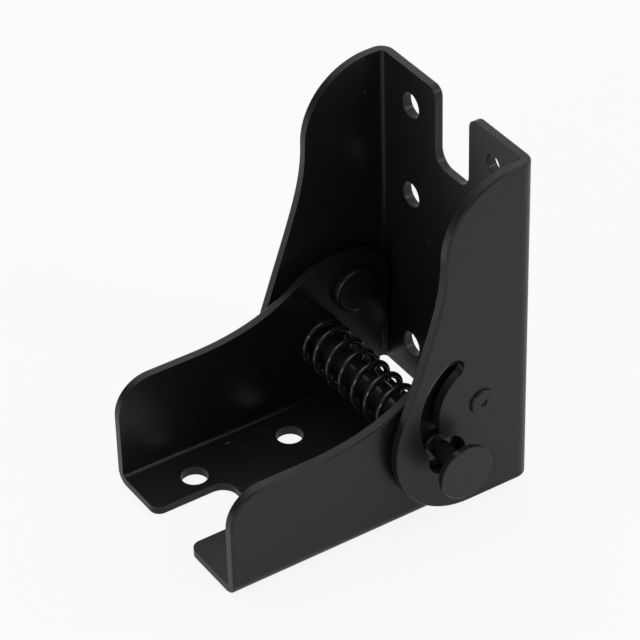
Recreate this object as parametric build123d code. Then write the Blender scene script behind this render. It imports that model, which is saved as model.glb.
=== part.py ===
from build123d import *
from math import cos, pi, radians, sin
import os

os.makedirs("parts", exist_ok=True)

# Self-locking folding bracket for a table leg, shown locked open. Millimetres.
# The origin is on the face that lies against the table, at mid-width and level with the pivot.
# X points out from the table along the open leg, Y to the push-button side, Z up.

# Sheet metal, shared by both channels
sheet = 1.8             # thickness of the steel
bend_outer = 2.7        # outer radius of every fold
edge_roll = 0.4         # rounding that the blanking die leaves on the outer side of cut edges

# Table channel
table_width = 44.8      # over its two side walls
table_top = 46.0        # top edge above the pivot
table_drop = 20.9       # lower edge below the pivot
table_crown = 14.3      # radius of the walls' top corner
table_depth = 18.3      # depth of the walls below that corner
table_waist_x = 20.9    # a point on the walls' free edge, halfway down
table_waist_z = 18.0
table_hip_x = 25.2      # a point on that edge just above the ear
table_hip_z = 6.0
table_ear = 15.1        # radius of the ear round the lock
table_ear_x = 13.4      # centre of the ear, out from the table
table_notch_far = -4.6  # the notch's two sides, across the width
table_notch_near = 5.4
table_notch_floor = 30.9
table_hole_y = -12.0    # the line of three screw holes
table_hole_top = 38.9
table_hole_mid = 20.1
table_hole_low = -13.2
tab_hole = 3.7          # small hole in the tab beside the notch
tab_hole_y = 12.4
tab_hole_z = 40.3

# Leg channel
side_gap = 1.2          # between a leg wall and the table wall beside it
leg_length = 60.2       # from the table's face to the leg's end
leg_drop = 22.6         # underside of the base plate below the pivot
leg_wall_top = -1.0     # top edge of the walls, from the pivot's height
leg_corner = 7.0        # rounding of the walls' end
leg_rise_x = 44.0       # where the walls start to rise to the ears
leg_knee_x = 24.3       # a point on that rise
leg_knee_z = 3.9
leg_ear = 7.7           # radius of the ears round the pivot
leg_ear_flat = 4.0      # straight top of the ears, outward of the pivot
leg_base_rear = 5.1     # rear edge of the base plate
leg_notch_far = -6.5
leg_notch_near = 4.8
leg_notch_floor = 45.3
leg_hole_y = -10.6
leg_hole_outer = 49.6
leg_hole_inner = 29.5

# Details of both plates
screw_hole = 5.0
notch_corner = 3.0      # inner corners of the notches
tab_corner = 2.0        # outer corners beside the notches

# Pivot rivets
pivot_x = 10.7          # pivot axis, out from the table's face
shank = 6.0             # the part that the leg turns on
spigot = 4.4            # the part held in the table wall
rivet_head = 8.8
rivet_head_height = 1.5
rivet_end = 5.1         # the spread end outside the table wall
rivet_end_height = 0.5
rivet_dimple = 1.4
head_play = 0.12        # end play between a rivet head and the leg wall
turn_fit = 0.05         # radial clearance of what turns or slides in a hole

# Lock pin and its slot
lock_radius = 11.2      # from the pivot to the lock pin
lock_angle = -48.9      # direction of the pin from the pivot, seen from the button side
fold_angle = 90.0       # how far the leg folds
slot_spare = 17.0       # slot beyond the folded place
slot_width = 4.0
slot_inset = 0.15       # the slot runs this much nearer the pivot than the pin's centre
lock_hole = 7.7
button = 10.4
button_thickness = 1.2
button_stand_off = 6.0  # the button's outer face from the table wall
neck = 3.5
collar = 7.2
lock_clearance = 0.3    # between the collar and the table wall
shaft = 4.8
tip_entry = 0.1         # how far the shaft's tip sits in the far hole
seat_outer = 9.6        # the washer that the spring pushes on
seat_thickness = 1.0
seat_play = 0.1         # between that washer and the leg wall
edge_break = 0.35       # rounding of turned edges
button_edge = 0.15      # rounding of the button's edges

# Spring
spring_outer = 9.8
spring_wire = 1.2
spring_turned = 75.0    # where the wire's far end lies round the pin
open_turns = 7.5        # turns with room between them
closed_turns = 1        # turns laid together at each end
closed_pitch = 1.25
spring_play = 0.05      # between the spring's ends and what they push on

# Places worked out from the sizes above
bend_inner = bend_outer - sheet
wall_out = table_width / 2
wall_in = wall_out - sheet
leg_out = wall_in - side_gap
leg_in = leg_out - sheet
pin_x = pivot_x + lock_radius * cos(radians(lock_angle))
pin_z = lock_radius * sin(radians(lock_angle))


def xz(x, z):
    return (x, 0, z)


def side_solid(outline, low, high):
    """The solid from y = low to y = high with an outline drawn in X and Z."""
    return extrude(make_face(outline), amount=high - low, dir=(0, 1, 0)).moved(Location((0, low, 0)))


def bar_y(diameter, low, high, x, z):
    """A round bar along Y from low to high."""
    place = Plane(origin=(x, low, z), x_dir=(1, 0, 0), z_dir=(0, 1, 0))
    return extrude(place * Circle(diameter / 2), amount=high - low)


def hole_x(diameter, y, z):
    """A cutter for a hole through the table plate."""
    place = Plane(origin=(-1, y, z), x_dir=(0, 1, 0), z_dir=(1, 0, 0))
    return extrude(place * Circle(diameter / 2), amount=sheet + 2)


def hole_z(diameter, x, y):
    """A cutter for a hole through the base plate."""
    return extrude(Pos(x, y, -leg_drop - 1) * Circle(diameter / 2), amount=sheet + 2)


def channel_section(width):
    """The folded sheet's section: base along the sketch's X, walls up along its Y."""
    outer = Rectangle(width, 2 * width, align=(Align.CENTER, Align.MIN))
    outer = fillet(outer.vertices().sort_by(Axis.Y)[:2], bend_outer)
    inner = Pos(0, sheet) * Rectangle(width - 2 * sheet, 2 * width, align=(Align.CENTER, Align.MIN))
    inner = fillet(inner.vertices().sort_by(Axis.Y)[:2], bend_inner)
    return outer - inner


def notch(width, depth):
    """A U notch drawn from its floor up past the plate's end."""
    shape = Rectangle(width, depth + 1, align=(Align.CENTER, Align.MIN))
    return fillet(shape.vertices().sort_by(Axis.Y)[:2], notch_corner)


def skin_depth(y, rise, half_width):
    """How deep a point is below a channel's outer skin. rise is its height above the base's underside."""
    side = half_width - abs(y)
    if rise > bend_outer or side > bend_outer:
        return min(rise, side)
    return bend_outer - ((bend_outer - rise) ** 2 + (bend_outer - side) ** 2) ** 0.5


def roll_edges(channel, rise_of, half_width, length_axis):
    """Round the outer side of the blanked outline, but not the holes."""
    rolled = ShapeList()
    for edge in channel.edges():
        points = [edge @ 0.1, edge @ 0.5, edge @ 0.9]
        if edge.is_closed or any(skin_depth(p.Y, rise_of(p), half_width) > 0.01 for p in points):
            continue
        middle = points[1]
        side = half_width - abs(middle.Y)
        fold_line = max(side, rise_of(middle)) < bend_outer + 0.01 and min(side, rise_of(middle)) < 0.01
        if fold_line and edge in ShapeList([edge]).filter_by(length_axis):
            continue
        rolled.append(edge)
    return fillet(rolled, edge_roll)


def save(shape, name):
    print(name, shape.is_valid, len(shape.solids()), round(shape.volume, 1))
    export_step(shape, f"parts/{name}.step")


# Table channel: a straight channel stood on end, then blanked to its outline
table_low = -table_drop
crown_z = table_top - table_crown
crown_x = table_depth - table_crown
ear_z = table_low + table_ear
ear_start = radians(20)
ear_x_start = table_ear_x + table_ear * cos(ear_start)
ear_z_start = ear_z + table_ear * sin(ear_start)
table_edge = Curve() + [
    Line(xz(0, table_low), xz(0, table_top)),
    Line(xz(0, table_top), xz(crown_x, table_top)),
    ThreePointArc(
        xz(crown_x, table_top),
        xz(crown_x + table_crown * cos(pi / 4), crown_z + table_crown * sin(pi / 4)),
        xz(table_depth, crown_z),
    ),
    Spline(
        xz(table_depth, crown_z),
        xz(table_waist_x, table_waist_z),
        xz(table_hip_x, table_hip_z),
        xz(ear_x_start, ear_z_start),
        tangents=[(0, 0, -1), (sin(ear_start), 0, -cos(ear_start))],
    ),
    ThreePointArc(
        xz(ear_x_start, ear_z_start),
        xz(table_ear_x + table_ear * cos(pi / 5), ear_z - table_ear * sin(pi / 5)),
        xz(table_ear_x, table_low),
    ),
    Line(xz(table_ear_x, table_low), xz(0, table_low)),
]
stand = Plane(origin=(0, 0, table_top), x_dir=(0, 1, 0), z_dir=(0, 0, -1))
table_channel = extrude(stand * channel_section(table_width), amount=table_top + table_drop)
table_channel &= side_solid(table_edge, -wall_out, wall_out)

notch_width = table_notch_near - table_notch_far
notch_mid = (table_notch_near + table_notch_far) / 2
notch_place = Plane(origin=(-1, notch_mid, table_notch_floor), x_dir=(0, 1, 0), z_dir=(1, 0, 0))
notch_tool = extrude(notch_place * notch(notch_width, table_top - table_notch_floor), amount=sheet + 2)
table_channel -= notch_tool
plate_corners = table_channel.edges().filter_by(Axis.X).filter_by(
    lambda e: abs(e.center().Z - table_top) < 0.01
    and min(abs(e.center().Y - table_notch_far), abs(e.center().Y - table_notch_near)) < 0.01
)
table_channel = fillet(plate_corners, tab_corner)
for height in (table_hole_top, table_hole_mid, table_hole_low):
    table_channel -= hole_x(screw_hole, table_hole_y, height)
table_channel -= hole_x(tab_hole, tab_hole_y, tab_hole_z)
table_channel -= bar_y(spigot, -wall_out - 1, wall_out + 1, pivot_x, 0)

# The arc slot in the near wall, round the pivot, with the lock hole at its lower end
slot_low = wall_in - side_gap / 2
slot_high = wall_out + 1
slot_stop = lock_angle + fold_angle + slot_spare
slot_radius = lock_radius - slot_inset
slot_inner = slot_radius - slot_width / 2
slot_outer = slot_radius + slot_width / 2


def round_pivot(radius, angle):
    return xz(pivot_x + radius * cos(radians(angle)), radius * sin(radians(angle)))


slot_mid = (lock_angle + slot_stop) / 2
slot_cap = slot_width / 2 / slot_radius * 180 / pi
slot_edge = Curve() + [
    ThreePointArc(
        round_pivot(slot_outer, lock_angle),
        round_pivot(slot_outer, slot_mid),
        round_pivot(slot_outer, slot_stop),
    ),
    ThreePointArc(
        round_pivot(slot_outer, slot_stop),
        round_pivot(slot_radius, slot_stop + slot_cap),
        round_pivot(slot_inner, slot_stop),
    ),
    ThreePointArc(
        round_pivot(slot_inner, slot_stop),
        round_pivot(slot_inner, slot_mid),
        round_pivot(slot_inner, lock_angle),
    ),
    Line(round_pivot(slot_inner, lock_angle), round_pivot(slot_outer, lock_angle)),
]
table_channel = roll_edges(table_channel, lambda p: p.X, wall_out, Axis.Z)
table_channel -= side_solid(slot_edge, slot_low, slot_high)
table_channel -= bar_y(lock_hole, slot_low, slot_high, pin_x, pin_z)
save(table_channel, "table_channel")

# Leg channel: a straight channel laid along X, then blanked to its outline
leg_low = -leg_drop
fold_z = leg_low + bend_outer
end_z = leg_wall_top - leg_corner
end_x = leg_length - leg_corner
leg_edge = Curve() + [
    Line(xz(leg_base_rear, leg_low), xz(leg_length, leg_low)),
    Line(xz(leg_length, leg_low), xz(leg_length, end_z)),
    ThreePointArc(
        xz(leg_length, end_z),
        xz(end_x + leg_corner * cos(pi / 4), end_z + leg_corner * sin(pi / 4)),
        xz(end_x, leg_wall_top),
    ),
    Line(xz(end_x, leg_wall_top), xz(leg_rise_x, leg_wall_top)),
    Spline(
        xz(leg_rise_x, leg_wall_top),
        xz(leg_knee_x, leg_knee_z),
        xz(pivot_x + leg_ear_flat, leg_ear),
        tangents=[(-1, 0, 0), (-1, 0, 0)],
    ),
    Line(xz(pivot_x + leg_ear_flat, leg_ear), xz(pivot_x, leg_ear)),
    ThreePointArc(
        xz(pivot_x, leg_ear),
        xz(pivot_x - leg_ear * cos(pi / 4), leg_ear * sin(pi / 4)),
        xz(pivot_x - leg_ear, 0),
    ),
    Spline(
        xz(pivot_x - leg_ear, 0),
        xz(leg_base_rear, fold_z),
        tangents=[(0, 0, -1), (0, 0, -1)],
    ),
    Line(xz(leg_base_rear, fold_z), xz(leg_base_rear, leg_low)),
]
lying = Plane(origin=(0, 0, leg_low), x_dir=(0, 1, 0), z_dir=(1, 0, 0))
leg_channel = extrude(lying * channel_section(2 * leg_out), amount=leg_length)
leg_channel &= side_solid(leg_edge, -leg_out, leg_out)

notch_width = leg_notch_near - leg_notch_far
notch_mid = (leg_notch_near + leg_notch_far) / 2
notch_place = Plane(origin=(leg_notch_floor, notch_mid, leg_low - 1), x_dir=(0, -1, 0), z_dir=(0, 0, 1))
leg_channel -= extrude(notch_place * notch(notch_width, leg_length - leg_notch_floor), amount=sheet + 2)
plate_corners = leg_channel.edges().filter_by(Axis.Z).filter_by(
    lambda e: abs(e.center().X - leg_length) < 0.01
    and min(abs(e.center().Y - leg_notch_far), abs(e.center().Y - leg_notch_near)) < 0.01
)
leg_channel = fillet(plate_corners, tab_corner)
for distance in (leg_hole_outer, leg_hole_inner):
    leg_channel -= hole_z(screw_hole, distance, leg_hole_y)
leg_channel -= bar_y(shank + 2 * turn_fit, -wall_out, wall_out, pivot_x, 0)
leg_channel -= bar_y(collar + 2 * turn_fit, 0, wall_out, pin_x, pin_z)
leg_channel -= bar_y(shaft + 2 * turn_fit, -wall_out, 0, pin_x, pin_z)
leg_channel = roll_edges(leg_channel, lambda p: p.Z - leg_low, leg_out, Axis.X)
save(leg_channel, "leg_channel")

# Pivot rivets: head inside the leg wall, shank as the bearing, spigot spread outside the table wall
head_face = leg_in - head_play
rivet = bar_y(rivet_head, head_face - rivet_head_height, head_face, pivot_x, 0)
rivet = fillet(rivet.edges().sort_by(Axis.Y)[:1], rivet_head_height / 2)
rivet += bar_y(shank, head_face, wall_in, pivot_x, 0)
rivet += bar_y(spigot, wall_in, wall_out, pivot_x, 0)
spread = bar_y(rivet_end, wall_out, wall_out + rivet_end_height, pivot_x, 0)
spread = fillet(spread.edges().sort_by(Axis.Y)[-1:], edge_break)
rivet += spread
rivet -= bar_y(rivet_dimple, wall_out + rivet_end_height / 2, wall_out + 2, pivot_x, 0)
save(rivet, "pivot_rivet_near")
save(rivet.mirror(Plane.XZ), "pivot_rivet_far")

# Lock pin: one turned piece from the button to the tip of the shaft
collar_front = wall_in - lock_clearance
seat_front = leg_in - seat_play
button_face = wall_out + button_stand_off
tip = -leg_in - tip_entry
head = bar_y(button, button_face - button_thickness, button_face, pin_x, pin_z)
head = fillet(head.edges().filter_by(GeomType.CIRCLE), button_edge)
thick = bar_y(collar, seat_front, collar_front, pin_x, pin_z)
thick = chamfer(thick.edges().filter_by(GeomType.CIRCLE).sort_by(Axis.Y)[-1:], edge_break)
long = bar_y(shaft, tip, seat_front, pin_x, pin_z)
long = chamfer(long.edges().filter_by(GeomType.CIRCLE).sort_by(Axis.Y)[:1], edge_break)
lock_pin = head + bar_y(neck, collar_front, button_face - button_thickness, pin_x, pin_z) + thick + long
save(lock_pin, "lock_pin")

# Spring seat: a washer pressed on the shaft against the collar
seat_back = seat_front - seat_thickness
spring_seat = bar_y(seat_outer, seat_back, seat_front, pin_x, pin_z)
spring_seat = fillet(spring_seat.edges().filter_by(GeomType.CIRCLE), edge_break / 2)
spring_seat -= bar_y(shaft, seat_back - 1, seat_front + 1, pin_x, pin_z)
save(spring_seat, "spring_seat")

# Compression spring from the far leg wall to the seat, with closed ends
coil = (spring_outer - spring_wire) / 2
spring_low = -leg_in + spring_play + spring_wire / 2
spring_high = seat_back - spring_play - spring_wire / 2
closed_length = closed_turns * closed_pitch
open_length = spring_high - spring_low - 2 * closed_length


def wound(start, turns_before, pitch, length):
    """A stretch of round wire wound round the pin, from y = start on."""
    path = Helix(pitch, length, coil)
    mouth = Plane(origin=path @ 0, z_dir=path % 0)
    wire = sweep(mouth * Circle(spring_wire / 2), path=path)
    place = Plane(origin=(pin_x, start, pin_z), x_dir=(1, 0, 0), z_dir=(0, 1, 0))
    return place.location * Rot(Z=spring_turned + 360 * turns_before) * wire


lock_spring = wound(spring_low, 0, closed_pitch, closed_length)
lock_spring += wound(spring_low + closed_length, closed_turns, open_length / open_turns, open_length)
lock_spring += wound(spring_high - closed_length, closed_turns + open_turns, closed_pitch, closed_length)
save(lock_spring, "lock_spring")
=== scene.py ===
# %% [markdown]
# # A folding table leg bracket
#
# Two folded sheet-steel channels, coated black, turn on a pair of rivets. A sprung pin with a round
# button locks them open. The engineering model gives every piece its shape and place, and this lesson
# dresses it: camera, finishes made from shader nodes alone, a smoothly shaded copy of the spring, light
# and floor.

# %% Load the engineering model
import bmesh
import bpy
import math
from mathutils import Matrix, Vector


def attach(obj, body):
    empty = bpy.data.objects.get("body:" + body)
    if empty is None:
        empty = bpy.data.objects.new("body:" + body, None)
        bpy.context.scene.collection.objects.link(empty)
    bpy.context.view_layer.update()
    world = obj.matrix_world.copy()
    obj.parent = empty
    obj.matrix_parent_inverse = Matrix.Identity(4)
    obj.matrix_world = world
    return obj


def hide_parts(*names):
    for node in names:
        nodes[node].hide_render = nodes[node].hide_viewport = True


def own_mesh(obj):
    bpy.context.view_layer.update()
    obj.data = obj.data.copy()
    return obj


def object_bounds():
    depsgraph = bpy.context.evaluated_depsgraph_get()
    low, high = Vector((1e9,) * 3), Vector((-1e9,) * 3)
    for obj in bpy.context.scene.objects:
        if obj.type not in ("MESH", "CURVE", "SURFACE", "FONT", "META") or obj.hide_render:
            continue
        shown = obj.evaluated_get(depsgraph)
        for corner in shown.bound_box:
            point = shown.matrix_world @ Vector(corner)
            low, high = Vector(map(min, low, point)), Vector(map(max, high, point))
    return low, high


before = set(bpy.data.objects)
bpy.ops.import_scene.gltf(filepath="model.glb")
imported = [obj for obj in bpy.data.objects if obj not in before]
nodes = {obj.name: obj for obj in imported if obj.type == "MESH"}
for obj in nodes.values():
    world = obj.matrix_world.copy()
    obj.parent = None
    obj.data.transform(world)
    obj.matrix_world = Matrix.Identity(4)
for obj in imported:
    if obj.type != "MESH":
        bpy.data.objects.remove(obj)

MM = 0.001
scene = bpy.context.scene
cad_low, cad_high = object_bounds()
print("size in mm", [round((high - low) / MM, 1) for low, high in zip(cad_low, cad_high)])

# %% [markdown]
# ## The camera
#
# A camera can be aimed by a constraint or by hand, but the photograph's perspective was worked out from
# the bracket's own straight edges and round holes, so the three directions of the camera are built from
# its compass angle, its height angle and its slight roll. The lens is long, because catalogue pictures
# are taken from far away to keep parallel edges nearly parallel.

# %% Place the camera
AZIMUTH = math.radians(147.558)
ELEVATION = math.radians(37.145)
ROLL = math.radians(-1.448)
LENS = 186.1
CAMERA_PLACE = Vector((272.683, 383.158, 355.561)) * MM

level = Vector((math.cos(AZIMUTH), math.sin(AZIMUTH), 0))
back = Vector(
    (
        math.sin(AZIMUTH) * math.cos(ELEVATION),
        -math.cos(AZIMUTH) * math.cos(ELEVATION),
        math.sin(ELEVATION),
    )
)
upright = back.cross(level)
camera_right = level * math.cos(ROLL) + upright * math.sin(ROLL)
camera_up = back.cross(camera_right)
directions = Matrix((camera_right, camera_up, back)).transposed().to_4x4()

camera_data = bpy.data.cameras.new("camera")
camera_data.lens = LENS
camera_data.sensor_width = 36
camera_data.clip_start = 0.01
camera_data.clip_end = 20
camera = bpy.data.objects.new("camera", camera_data)
scene.collection.objects.link(camera)
camera.matrix_world = Matrix.Translation(CAMERA_PLACE) @ directions
scene.camera = camera
print("camera distance in mm", round(CAMERA_PLACE.length / MM))

# %% [markdown]
# ## A small language for shader nodes
#
# Node trees are quick to draw by hand and slow to read in code. Here a socket is wrapped in a class
# whose arithmetic operators add Math nodes, so a mask reads as a formula. Each operator has its
# reflected form too, so that a plain number may stand on the left, as in 1 - mask.

# %% Wrap a socket


class Wire:
    """A number that varies over a surface: one output socket of a node tree."""

    def __init__(self, finish, socket):
        self.finish = finish
        self.socket = socket

    def maths(self, operation, *values, clamp=False):
        settings = {"operation": operation, "use_clamp": clamp}
        return self.finish.node("ShaderNodeMath", settings, dict(enumerate(values)))

    def __add__(self, other):
        return self.maths("ADD", self, other)

    def __radd__(self, other):
        return self.maths("ADD", other, self)

    def __sub__(self, other):
        return self.maths("SUBTRACT", self, other)

    def __rsub__(self, other):
        return self.maths("SUBTRACT", other, self)

    def __mul__(self, other):
        return self.maths("MULTIPLY", self, other)

    def __rmul__(self, other):
        return self.maths("MULTIPLY", other, self)

    def larger(self, other):
        return self.maths("MAXIMUM", self, other)

    def below(self, limit):
        """1 where the number is under a limit, and 0 elsewhere."""
        return self.maths("LESS_THAN", self, limit)

    def ramp(self, start, stop):
        """0 up to start and 1 from stop on."""
        return self.maths("DIVIDE", self - start, stop - start, clamp=True)


# %% [markdown]
# Everything that isn't arithmetic comes from one method, which takes a node's type, its settings and
# the values or links of its sockets. The rest of the class only gives short names to the nodes that
# this lesson uses most. It holds the tree of a material, or of the world, which is built the same way.

# %% Wrap a node tree


class Finish:
    """The node tree of a material or a world, with one method for every kind of node."""

    def __init__(self, holder):
        self.holder = holder
        holder.use_nodes = True
        self.tree = holder.node_tree
        self.tree.nodes.clear()

    def node(self, kind, settings=None, inputs=None, output=0):
        made = self.tree.nodes.new(kind)
        for key, value in (settings or {}).items():
            setattr(made, key, value)
        for key, value in (inputs or {}).items():
            socket = made.inputs[key]
            if isinstance(value, Wire):
                self.tree.links.new(value.socket, socket)
            else:
                socket.default_value = value
        return Wire(self, made.outputs[output])

    def outputs(self, wire, *names):
        """Other outputs of the node that a wire comes from."""
        return [Wire(self, wire.socket.node.outputs[name]) for name in names]

    def place(self):
        """Object coordinates in millimetres."""
        here = self.node("ShaderNodeTexCoord", output="Object")
        per_metre = (1 / MM, 1 / MM, 1 / MM)
        return self.node("ShaderNodeMapping", inputs={"Vector": here, "Scale": per_metre})

    def parts(self, vector):
        """The three numbers of a vector."""
        split = self.node("ShaderNodeSeparateXYZ", inputs={0: vector})
        return self.outputs(split, "X", "Y", "Z")

    def noise(self, vector, scale, detail):
        inputs = {"Vector": vector, "Scale": scale, "Detail": detail, "Roughness": 0.5}
        return self.node("ShaderNodeTexNoise", inputs=inputs)

    def mix(self, factor, low, high):
        """Between two colours."""
        inputs = {"Factor": factor, 6: low, 7: high}
        return self.node("ShaderNodeMix", {"data_type": "RGBA"}, inputs, output=2)

    def vector(self, operation, *values, output="Vector", **named):
        inputs = {**dict(enumerate(values)), **named}
        return self.node("ShaderNodeVectorMath", {"operation": operation}, inputs, output)

    def bump(self, height, distance, normal):
        inputs = {"Strength": 1.0, "Distance": distance, "Height": height, "Normal": normal}
        return self.node("ShaderNodeBump", inputs=inputs)

    def show(self, shader, end="ShaderNodeOutputMaterial"):
        """Send a finished shader to the tree's output."""
        last = self.tree.nodes.new(end)
        self.tree.links.new(shader.socket, last.inputs["Surface"])
        return self.holder


# %% [markdown]
# ## Specks, scuffs and painted glints
#
# Dust on a dark coat shows as a few round specks, not as an even grey. A noise would give cloudy
# patches, so the specks are dots at the middle of some of the cells of a Voronoi pattern. Scuffs have a
# length and a direction, and are drawn as the surface within a small distance of a short line. Some of
# these lines are painted highlights: light colour that stands for glints in small dents and on an edge.

# %% Masks for specks, scuffs and painted glints
SPECK_EDGE = 0.35
LIGHT_MARK_EDGE = 0.6


def speck_mask(finish, vector, per_mm, size, share, seed):
    """Round specks of one size, in a share of the cells."""
    settings = {"feature": "F1", "distance": "EUCLIDEAN"}
    inputs = {"Vector": vector, "Scale": per_mm, "Randomness": 1.0}
    cells = finish.node("ShaderNodeTexVoronoi", settings, inputs)
    distance, colour = finish.outputs(cells, "Distance", "Color")
    chance, _, _ = finish.parts(colour)
    wanted = chance.maths("FRACT", chance + seed)
    reach = size * per_mm
    return (reach - distance).ramp(0, SPECK_EDGE * reach) * wanted.below(share)


def scuff_and_glint_mask(finish, vector, scuffs_and_glints):
    """Short scuffs and painted glints, each from one point to another, in millimetres, with a half
    width.
    """
    total = None
    for start, stop, half in scuffs_and_glints:
        along = Vector(stop) - Vector(start)
        offset = finish.vector("SUBTRACT", vector, start)
        reach = finish.vector("DOT_PRODUCT", offset, tuple(along), output="Value")
        foot = finish.vector("SCALE", tuple(along), Scale=reach.ramp(0, along.length_squared))
        gap = finish.vector("DISTANCE", offset, foot, output="Value")
        light_mark = (half - gap).ramp(0, LIGHT_MARK_EDGE * half)
        total = light_mark if total is None else total.larger(light_mark)
    return total


# %% [markdown]
# ## Bare steel on the collar
#
# Every time the bracket locks, the front rim of the pin's thick collar rubs in the lock hole, and the
# coat wears through to the steel there. The rim is found by its distance from the pin's axis and by
# its place along the axis, and a slow noise leaves the coat on in patches.

# %% Mask for the worn rim
PIN_AXIS = (18.063, 0, -8.44)
RIM_RADIUS = (3.2, 3.5)
RIM_BACK = (20.0, 20.2)
RIM_FRONT = (20.35, 20.4)
RIM_WEAR = 0.6


def collar_wear(finish, here):
    """1 where the collar's rim is worn to bare steel."""
    _, along, _ = finish.parts(here)
    across = finish.vector("MULTIPLY", here, (1, 0, 1))
    radius = finish.vector("DISTANCE", across, PIN_AXIS, output="Value")
    rim = radius.ramp(*RIM_RADIUS) * along.ramp(*RIM_BACK) * (1 - along.ramp(*RIM_FRONT))
    patchy = finish.noise(here, 0.45, 1.0).ramp(0.40, 0.62)
    return rim * patchy * RIM_WEAR


# %% [markdown]
# ## Black dip coating
#
# Both channels are coated black after folding. The coat is a dielectric: nearly black inside, with a
# clear reflection of about three per cent on top, so almost all that the eye sees is reflection. That
# puts the work into roughness and bump: a fine orange peel, a slow unevenness of the sheet that bends
# the reflections, and a little dust. The sharp arrises are softened in the shading alone, by a few
# hundredths to a tenth of a millimetre, because a coat never has a knife edge.

# %% The coating
COAT_BLACK = (0.0098, 0.0101, 0.0108, 1)
WIRE_BLACK = (0.014, 0.014, 0.015, 1)
# this light colour is for dust specks and scuffs, and also for the painted highlights among the marks
DUST_AND_GLINT = (0.10, 0.105, 0.11, 1)
BARE_STEEL = (0.56, 0.57, 0.58, 1)
COAT_TINT = (0.95, 0.97, 1.0, 1)
COAT_INDEX = 1.4
SLOW_WAVE = 0.06 * MM
ORANGE_PEEL = 0.004 * MM


def coat(name, gloss, scuffs_and_glints=(), edge=0.12, black=COAT_BLACK, shine=0.5, wear=None):
    """Black coat with peel, dust, soft arrises, listed scuffs and painted glints, and worn places."""
    finish = Finish(bpy.data.materials.new(name))
    here = finish.place()
    slow = finish.noise(here, 0.11, 2.0)
    cloud = finish.noise(here, 0.6, 3.0)
    fine = finish.noise(here, 3.2, 2.0)
    dust = speck_mask(finish, here, 0.16, 0.13, 0.5, 0.13)
    lint = speck_mask(finish, here, 0.45, 0.05, 0.5, 0.61)
    specks_and_glints = dust.larger(lint * 0.6) * 0.55
    if scuffs_and_glints:
        # the listed marks are scuffs and painted highlights, both in the light colour
        specks_and_glints = specks_and_glints.larger(scuff_and_glint_mask(finish, here, scuffs_and_glints))
    colour = finish.mix(specks_and_glints, black, DUST_AND_GLINT)
    rough = gloss + (cloud - 0.5) * (0.3 * gloss) + specks_and_glints * 0.25
    metal = 0.0
    if wear:
        metal = wear(finish, here)
        colour = finish.mix(metal, colour, BARE_STEEL)
    rounded = finish.node("ShaderNodeBevel", {"samples": 6}, {"Radius": edge * MM})
    wave = finish.bump(slow, SLOW_WAVE, rounded)
    inputs = {
        "Base Color": colour,
        "Roughness": rough,
        "Metallic": metal,
        "Normal": finish.bump(fine, ORANGE_PEEL, wave),
        "IOR": COAT_INDEX,
        "Specular IOR Level": shine,
        "Specular Tint": COAT_TINT,
    }
    return finish.show(finish.node("ShaderNodeBsdfPrincipled", inputs=inputs))


# %% [markdown]
# ## Where the scuffs and painted glints lie
#
# Scuffs could be scattered by a noise, but the eye knows the ones that it has seen, so the light marks
# of this bracket are listed one by one, each where it lies on its own wall, in millimetres. Some are
# scuffs and dust, and some are painted highlights that stand for glints in small dents. The arc slot
# has its own
# painted highlight: a thin light line along its upper edge.

# %% Scuffs and painted glints on both channels
TABLE_FAR, TABLE_NEAR, PLATE = -20.6, 22.4, 1.8
LEG_FAR, LEG_LOW = -17.6, -20.8
PIVOT_X = 10.7
SLOT_EDGE = 13.15
SLOT_HIGHLIGHT_TURNS = (30, 37, 44, 51, 57)

# painted highlight: points of a thin light line along the upper edge of the arc slot
slot_highlight_points = []
for turn in SLOT_HIGHLIGHT_TURNS:
    angle = math.radians(turn)
    slot_highlight_points.append((PIVOT_X + SLOT_EDGE * math.cos(angle), TABLE_NEAR, SLOT_EDGE * math.sin(angle)))

# light marks on the table channel: dust and scuffs, and painted highlights, the slot's among them
table_scuffs_and_glints = [
    ((5.6, TABLE_FAR, 38.3), (5.6, TABLE_FAR, 38.5), 0.18),
    ((3.05, TABLE_FAR, 41.1), (3.1, TABLE_FAR, 41.1), 0.15),
    ((13.6, TABLE_FAR, 6.3), (13.7, TABLE_FAR, 6.3), 0.2),
    ((5.7, TABLE_FAR, 45.2), (5.8, TABLE_FAR, 45.3), 0.15),
    ((PLATE, -16.6, 2.9), (PLATE, -16.5, 3.0), 0.16),
    ((PLATE, -6.5, 13.1), (PLATE, -6.45, 13.1), 0.2),
    ((PLATE, -3.1, 15.5), (PLATE, -3.1, 15.6), 0.15),
    ((PLATE, -17.1, 12.7), (PLATE, -17.1, 12.8), 0.15),
    ((PLATE, -18.6, 19.9), (PLATE, -18.5, 19.9), 0.15),
]
# the slot's painted highlight joins the table channel's light marks
table_scuffs_and_glints += [(start, stop, 0.13) for start, stop in zip(slot_highlight_points, slot_highlight_points[1:])]
# light marks on the leg: scuffs, and painted highlights where dents catch glints, as on the base
leg_scuffs_and_glints = [
    ((39.5, -15.0, LEG_LOW), (40.2, -15.0, LEG_LOW), 0.22),
    ((38.5, -13.05, LEG_LOW), (38.5, -13.0, LEG_LOW), 0.16),
    ((39.3, -7.4, LEG_LOW), (39.35, -7.4, LEG_LOW), 0.18),
    ((46.8, -15.0, LEG_LOW), (46.9, -15.0, LEG_LOW), 0.16),
    ((33.4, -15.05, LEG_LOW), (33.4, -15.0, LEG_LOW), 0.15),
    ((32.2, -14.2, LEG_LOW), (32.2, -14.1, LEG_LOW), 0.15),
    ((31.4, LEG_FAR, -9.5), (31.5, LEG_FAR, -9.5), 0.18),
]
print("scuffs_and_glints", len(table_scuffs_and_glints), "on the table channel,", len(leg_scuffs_and_glints), "on the leg")

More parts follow.
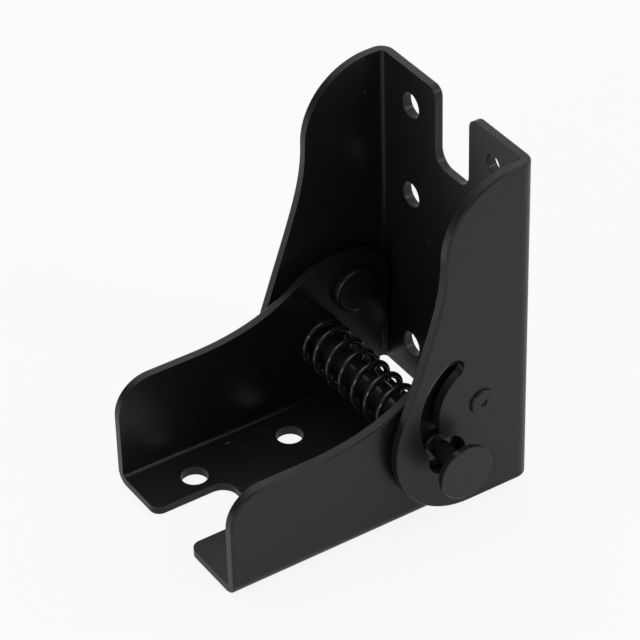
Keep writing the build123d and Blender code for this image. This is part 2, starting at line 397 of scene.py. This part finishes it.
# %% [markdown]
# ## Coat every piece
#
# One finish could serve all seven pieces, but they differ in gloss: the folded sheet is the dullest,
# the turned pin is smoother, and drawn spring wire shines most, so its turns catch thin bright lines.

# %% Give each piece its coat
finishes = {
    "table_channel": coat("table_channel_coat", 0.33, table_scuffs_and_glints),
    "leg_channel": coat("leg_channel_coat", 0.33, leg_scuffs_and_glints),
    "pivot_rivet_near": coat("near_rivet_coat", 0.36),
    "pivot_rivet_far": coat("far_rivet_coat", 0.30),
    "lock_pin": coat("pin_coat", 0.15, edge=0.05, black=WIRE_BLACK, wear=collar_wear),
    "spring_seat": coat("seat_coat", 0.28),
    "lock_spring": coat("spring_coat", 0.11, edge=0.02, black=WIRE_BLACK, shine=0.9),
}
for name, material in finishes.items():
    mesh = nodes[name].data
    mesh.materials.clear()
    mesh.materials.append(material)
    print(name, len(mesh.polygons), "triangles")

# %% [markdown]
# ## The spring copy
#
# When the button is pressed, the seat on the pin pushes the spring shorter against the far wall. A
# spring could be wound again at each length, but its turns only move closer together. Here a copy of
# the wire rides on the leg, and the copy's loose triangles are merged first, so that the round wire
# also shades smoothly.

# %% A smooth copy of the spring, on the leg
MERGE = 0.001 * MM

wire = bmesh.new()
wire.from_mesh(nodes["lock_spring"].data)
bmesh.ops.remove_doubles(wire, verts=wire.verts, dist=MERGE)
for face in wire.faces:
    face.smooth = True
wire_mesh = bpy.data.meshes.new("wound_spring")
wire.to_mesh(wire_mesh)
wire.free()
wire_mesh.materials.append(finishes["lock_spring"])

spring = bpy.data.objects.new("wound_spring", wire_mesh)
scene.collection.objects.link(spring)
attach(spring, "leg")
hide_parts("lock_spring")
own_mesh(spring)

# %% [markdown]
# ## Soft boxes
#
# A black gloss object is lit by what it reflects. Two soft boxes stand left and right of the camera,
# and draw the thin bright lines along the folds, the coils and the button's rim. They could be larger
# and weaker, but then the lines would be wide and grey. A third one above is faint, and only lifts the
# faces that look up.

# %% Lamps
AIM = Vector((25, 0, 5)) * MM


def soft_box(name, direction, distance, size, strength):
    """A square area lamp that looks at the bracket from a direction."""
    lamp = bpy.data.lights.new(name, "AREA")
    lamp.shape = "SQUARE"
    lamp.size = size
    lamp.energy = strength * math.pi * size * size
    holder = bpy.data.objects.new(name, lamp)
    scene.collection.objects.link(holder)
    way = Vector(direction).normalized()
    holder.location = AIM + way * distance
    holder.rotation_euler = way.to_track_quat("Z", "Y").to_euler()
    print(name, "gives", round(lamp.energy, 3), "W")


soft_box("right_box", (-0.43, 0.60, 0.67), 0.9, 0.16, 9.0)
soft_box("left_box", (0.78, 0.45, 0.45), 0.9, 0.22, 6.0)
soft_box("top_box", (0.1, -0.1, 1.0), 1.0, 0.5, 0.8)

# %% [markdown]
# ## Surroundings
#
# The rest of the studio is an even white, which the flat walls reflect. Two dark curtains hang in it,
# as a photographer would hang black cloth: a wide one on the camera's side, which keeps the coils and
# the shaft dark between their bright lines, and a small one on the far side, which keeps the wall of
# the arc slot dark. Each is a soft round patch about a direction, cut out of the world's strength.

# %% A white studio with two curtains
STUDIO_COLOUR = (0.96, 0.98, 1.0, 1)
STUDIO_STRENGTH = 1.02
# each has its direction, the angles of its dark middle and of its soft end, and its depth
CURTAINS = [
    ((0.43, 0.67, 0.60), 30, 62, 0.8),
    ((0.66, -0.68, 0.30), 18, 40, 0.9),
]

studio = Finish(bpy.data.worlds.new("surroundings"))
scene.world = studio.holder
way = studio.node("ShaderNodeTexCoord", output="Generated")
dark = None
for direction, inner, outer, depth in CURTAINS:
    middle = tuple(Vector(direction).normalized())
    near = studio.vector("DOT_PRODUCT", way, middle, output="Value")
    patch = near.ramp(math.cos(math.radians(outer)), math.cos(math.radians(inner))) * depth
    dark = patch if dark is None else dark.larger(patch)
light = {"Color": STUDIO_COLOUR, "Strength": STUDIO_STRENGTH * (1 - dark)}
studio.show(studio.node("ShaderNodeBackground", inputs=light), "ShaderNodeOutputWorld")
print("curtains", len(CURTAINS))

# %% [markdown]
# ## The floor
#
# The catalogue picture has a pure white ground. A floor that is bright enough to clip would flood the
# object from below, so the floor is an ordinary pale surface for the light that it bounces, and shows
# white to the camera. Reflections and clear things see a smaller share of that white, because the
# ground close under a bracket stands in its shade, and full white there would wash out the low faces.
# A share of the plain surface stays in the mix, so that the bracket still has its soft shadow.

# %% Floor
SHOWN_WHITE = 0.88
MIRRORED_WHITE = 0.4
PALE = (0.86, 0.87, 0.88, 1)
HALF_FLOOR = 3.0

ground = Finish(bpy.data.materials.new("floor_white"))
path = ground.node("ShaderNodeLightPath")
eye, mirror, glass = ground.outputs(path, "Is Camera Ray", "Is Glossy Ray", "Is Transmission Ray")
seen = (eye * SHOWN_WHITE).larger(mirror.larger(glass) * MIRRORED_WHITE)
plain = ground.node("ShaderNodeBsdfDiffuse", inputs={"Color": PALE})
white = ground.node("ShaderNodeEmission", inputs={"Color": (1, 1, 1, 1), "Strength": 1.0})
ground.show(ground.node("ShaderNodeMixShader", inputs={0: seen, 1: plain, 2: white}))

sheet = bmesh.new()
bmesh.ops.create_grid(sheet, x_segments=1, y_segments=1, size=HALF_FLOOR)
bmesh.ops.translate(sheet, vec=(0, 0, cad_low.z), verts=sheet.verts)
floor_mesh = bpy.data.meshes.new("floor")
sheet.to_mesh(floor_mesh)
sheet.free()
floor_mesh.materials.append(ground.holder)
floor = bpy.data.objects.new("floor", floor_mesh)
scene.collection.objects.link(floor)
print("floor at", round(cad_low.z / MM, 1), "mm")

# %% [markdown]
# ## View transform
#
# The view transform is Standard, so a colour renders as it is written.

# %% View transform
scene.view_settings.view_transform = "Standard"
